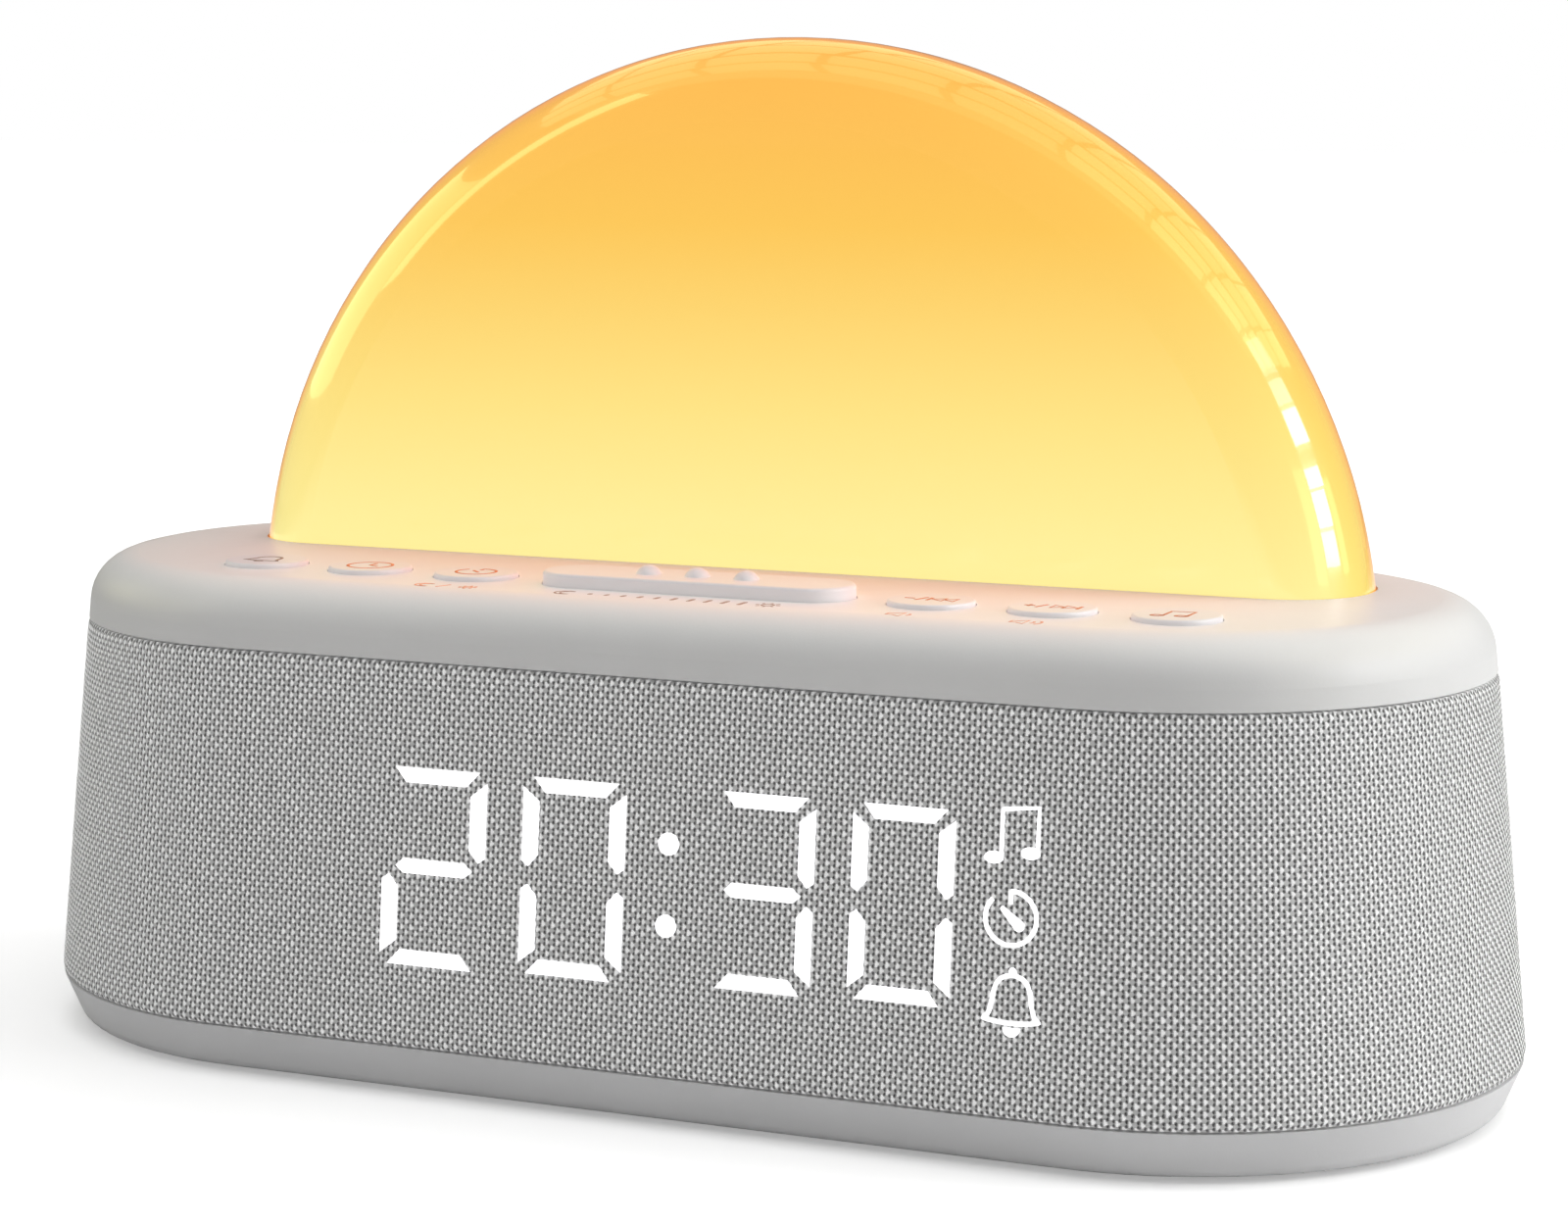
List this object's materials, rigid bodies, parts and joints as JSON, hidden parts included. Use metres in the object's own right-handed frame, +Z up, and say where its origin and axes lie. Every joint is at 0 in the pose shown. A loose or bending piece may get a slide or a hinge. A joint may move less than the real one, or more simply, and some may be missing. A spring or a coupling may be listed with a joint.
{
  "type": "sunrise alarm clock",
  "caption": "Bedside alarm clock with a half-disc wake-up lamp on a long, round-ended, cloth-wrapped body with a lit display, top keys and a small speaker.",
  "frame": {"origin": "on the table under the middle of the body", "axes": "+X to the right along the body as the user sees it, +Y away from the user (the display faces -Y), +Z up"},
  "size_m": [0.21, 0.092, 0.138],
  "materials": {
    "shell_plastic": "fine matte",
    "cover_plastic": "fine matte",
    "key_plastic": "fine matte",
    "lamp_shell": "glossy, lit from inside",
    "cloth": "woven speaker cloth",
    "white_plastic": "matte",
    "white_board": "satin solder mask",
    "circuit_board": "satin solder mask",
    "black_plastic": "matte",
    "led_lens": "clear",
    "film": "frosted",
    "screw_steel": "plated",
    "cell_steel": "satin",
    "speaker_steel": "satin",
    "capacitor_can": "sleeved",
    "contact_brass": "satin",
    "coil_copper": "enamelled wire",
    "cone_paper": "pressed paper",
    "spider_cloth": "impregnated cloth",
    "ferrite": "raw",
    "black_rubber": "soft",
    "foot_rubber": "soft",
    "wire_cover": "satin",
    "ribbon_plastic": "satin"
  },
  "bodies": {
    "clock": {"base": "shell_plastic", "housing": "shell_plastic", "fabric_sleeve": "cloth", "top_cover": "cover_plastic", "lamp_dome": "lamp_shell", "light_tray": "white_plastic", "light_board": "white_board", "light_leds": "led_lens", "light_board_screws": "screw_steel", "light_tray_screws": "screw_steel", "key_board": "circuit_board", "key_switches": "black_plastic", "key_board_screws": "screw_steel", "display_board": "circuit_board", "display_leds": "led_lens", "display_light_box": "white_plastic", "display_diffuser": "film", "display_screws": "screw_steel", "main_board": "circuit_board", "main_chip": "black_plastic", "radio_module": "screw_steel", "power_capacitors": "capacitor_can", "board_sockets": "white_plastic", "main_board_screws": "screw_steel", "power_jack": "black_plastic", "port_panel": "shell_plastic", "battery_holder": "black_plastic", "battery_contacts": "contact_brass", "coin_cell": "cell_steel", "speaker_frame": "speaker_steel", "speaker_gasket": "black_rubber", "speaker_surround": "black_rubber", "speaker_spider": "spider_cloth", "speaker_magnet": "ferrite", "speaker_yoke": "speaker_steel", "speaker_screws": "screw_steel", "feet": "foot_rubber", "base_screws": "screw_steel", "cover_screws": "screw_steel", "speaker_leads": "wire_cover", "lamp_leads": "wire_cover", "board_ribbons": "ribbon_plastic"},
    "alarm_key": {"alarm_button": "key_plastic", "alarm_plunger": "black_plastic"},
    "time_key": {"time_button": "key_plastic", "time_plunger": "black_plastic"},
    "timer_key": {"timer_button": "key_plastic", "timer_plunger": "black_plastic"},
    "previous_key": {"previous_button": "key_plastic", "previous_plunger": "black_plastic"},
    "next_key": {"next_button": "key_plastic", "next_plunger": "black_plastic"},
    "sound_key": {"sound_button": "key_plastic", "sound_plunger": "black_plastic"},
    "snooze_key": {"snooze_bar": "key_plastic", "snooze_plungers": "black_plastic"},
    "cone": {"speaker_cone": "cone_paper", "speaker_dust_cap": "cone_paper", "voice_coil": "coil_copper"},
    "cap": {"battery_cap": "shell_plastic"}
  },
  "joints": [
    {"name": "alarm_press", "type": "slide", "parent": "clock", "child": "alarm_key", "axis": [0, 0, -1], "range_m": [0, 0.0003], "stiffness_N_per_m": 1500, "springref_m": -0.0006},
    {"name": "time_press", "type": "slide", "parent": "clock", "child": "time_key", "axis": [0, 0, -1], "range_m": [0, 0.0003], "stiffness_N_per_m": 1500, "springref_m": -0.0006},
    {"name": "timer_press", "type": "slide", "parent": "clock", "child": "timer_key", "axis": [0, 0, -1], "range_m": [0, 0.0003], "stiffness_N_per_m": 1500, "springref_m": -0.0006},
    {"name": "previous_press", "type": "slide", "parent": "clock", "child": "previous_key", "axis": [0, 0, -1], "range_m": [0, 0.0003], "stiffness_N_per_m": 1500, "springref_m": -0.0006},
    {"name": "next_press", "type": "slide", "parent": "clock", "child": "next_key", "axis": [0, 0, -1], "range_m": [0, 0.0003], "stiffness_N_per_m": 1500, "springref_m": -0.0006},
    {"name": "sound_press", "type": "slide", "parent": "clock", "child": "sound_key", "axis": [0, 0, -1], "range_m": [0, 0.0003], "stiffness_N_per_m": 1500, "springref_m": -0.0006},
    {"name": "snooze_press", "type": "slide", "parent": "clock", "child": "snooze_key", "axis": [0, 0, -1], "range_m": [0, 0.0005], "stiffness_N_per_m": 2000, "springref_m": -0.0006},
    {"name": "cone_move", "type": "slide", "parent": "clock", "child": "cone", "axis": [0, -0.9957, 0.0924], "range_m": [-0.0008, 0.0008], "stiffness_N_per_m": 1200, "deforming": ["speaker_surround", "speaker_spider"]},
    {"name": "cap_turn", "type": "hinge", "parent": "clock", "child": "cap", "pos_m": [-0.045, 0.008, 0.0022], "axis": [0, 0, 1], "range_deg": [0, 40]}
  ]
}
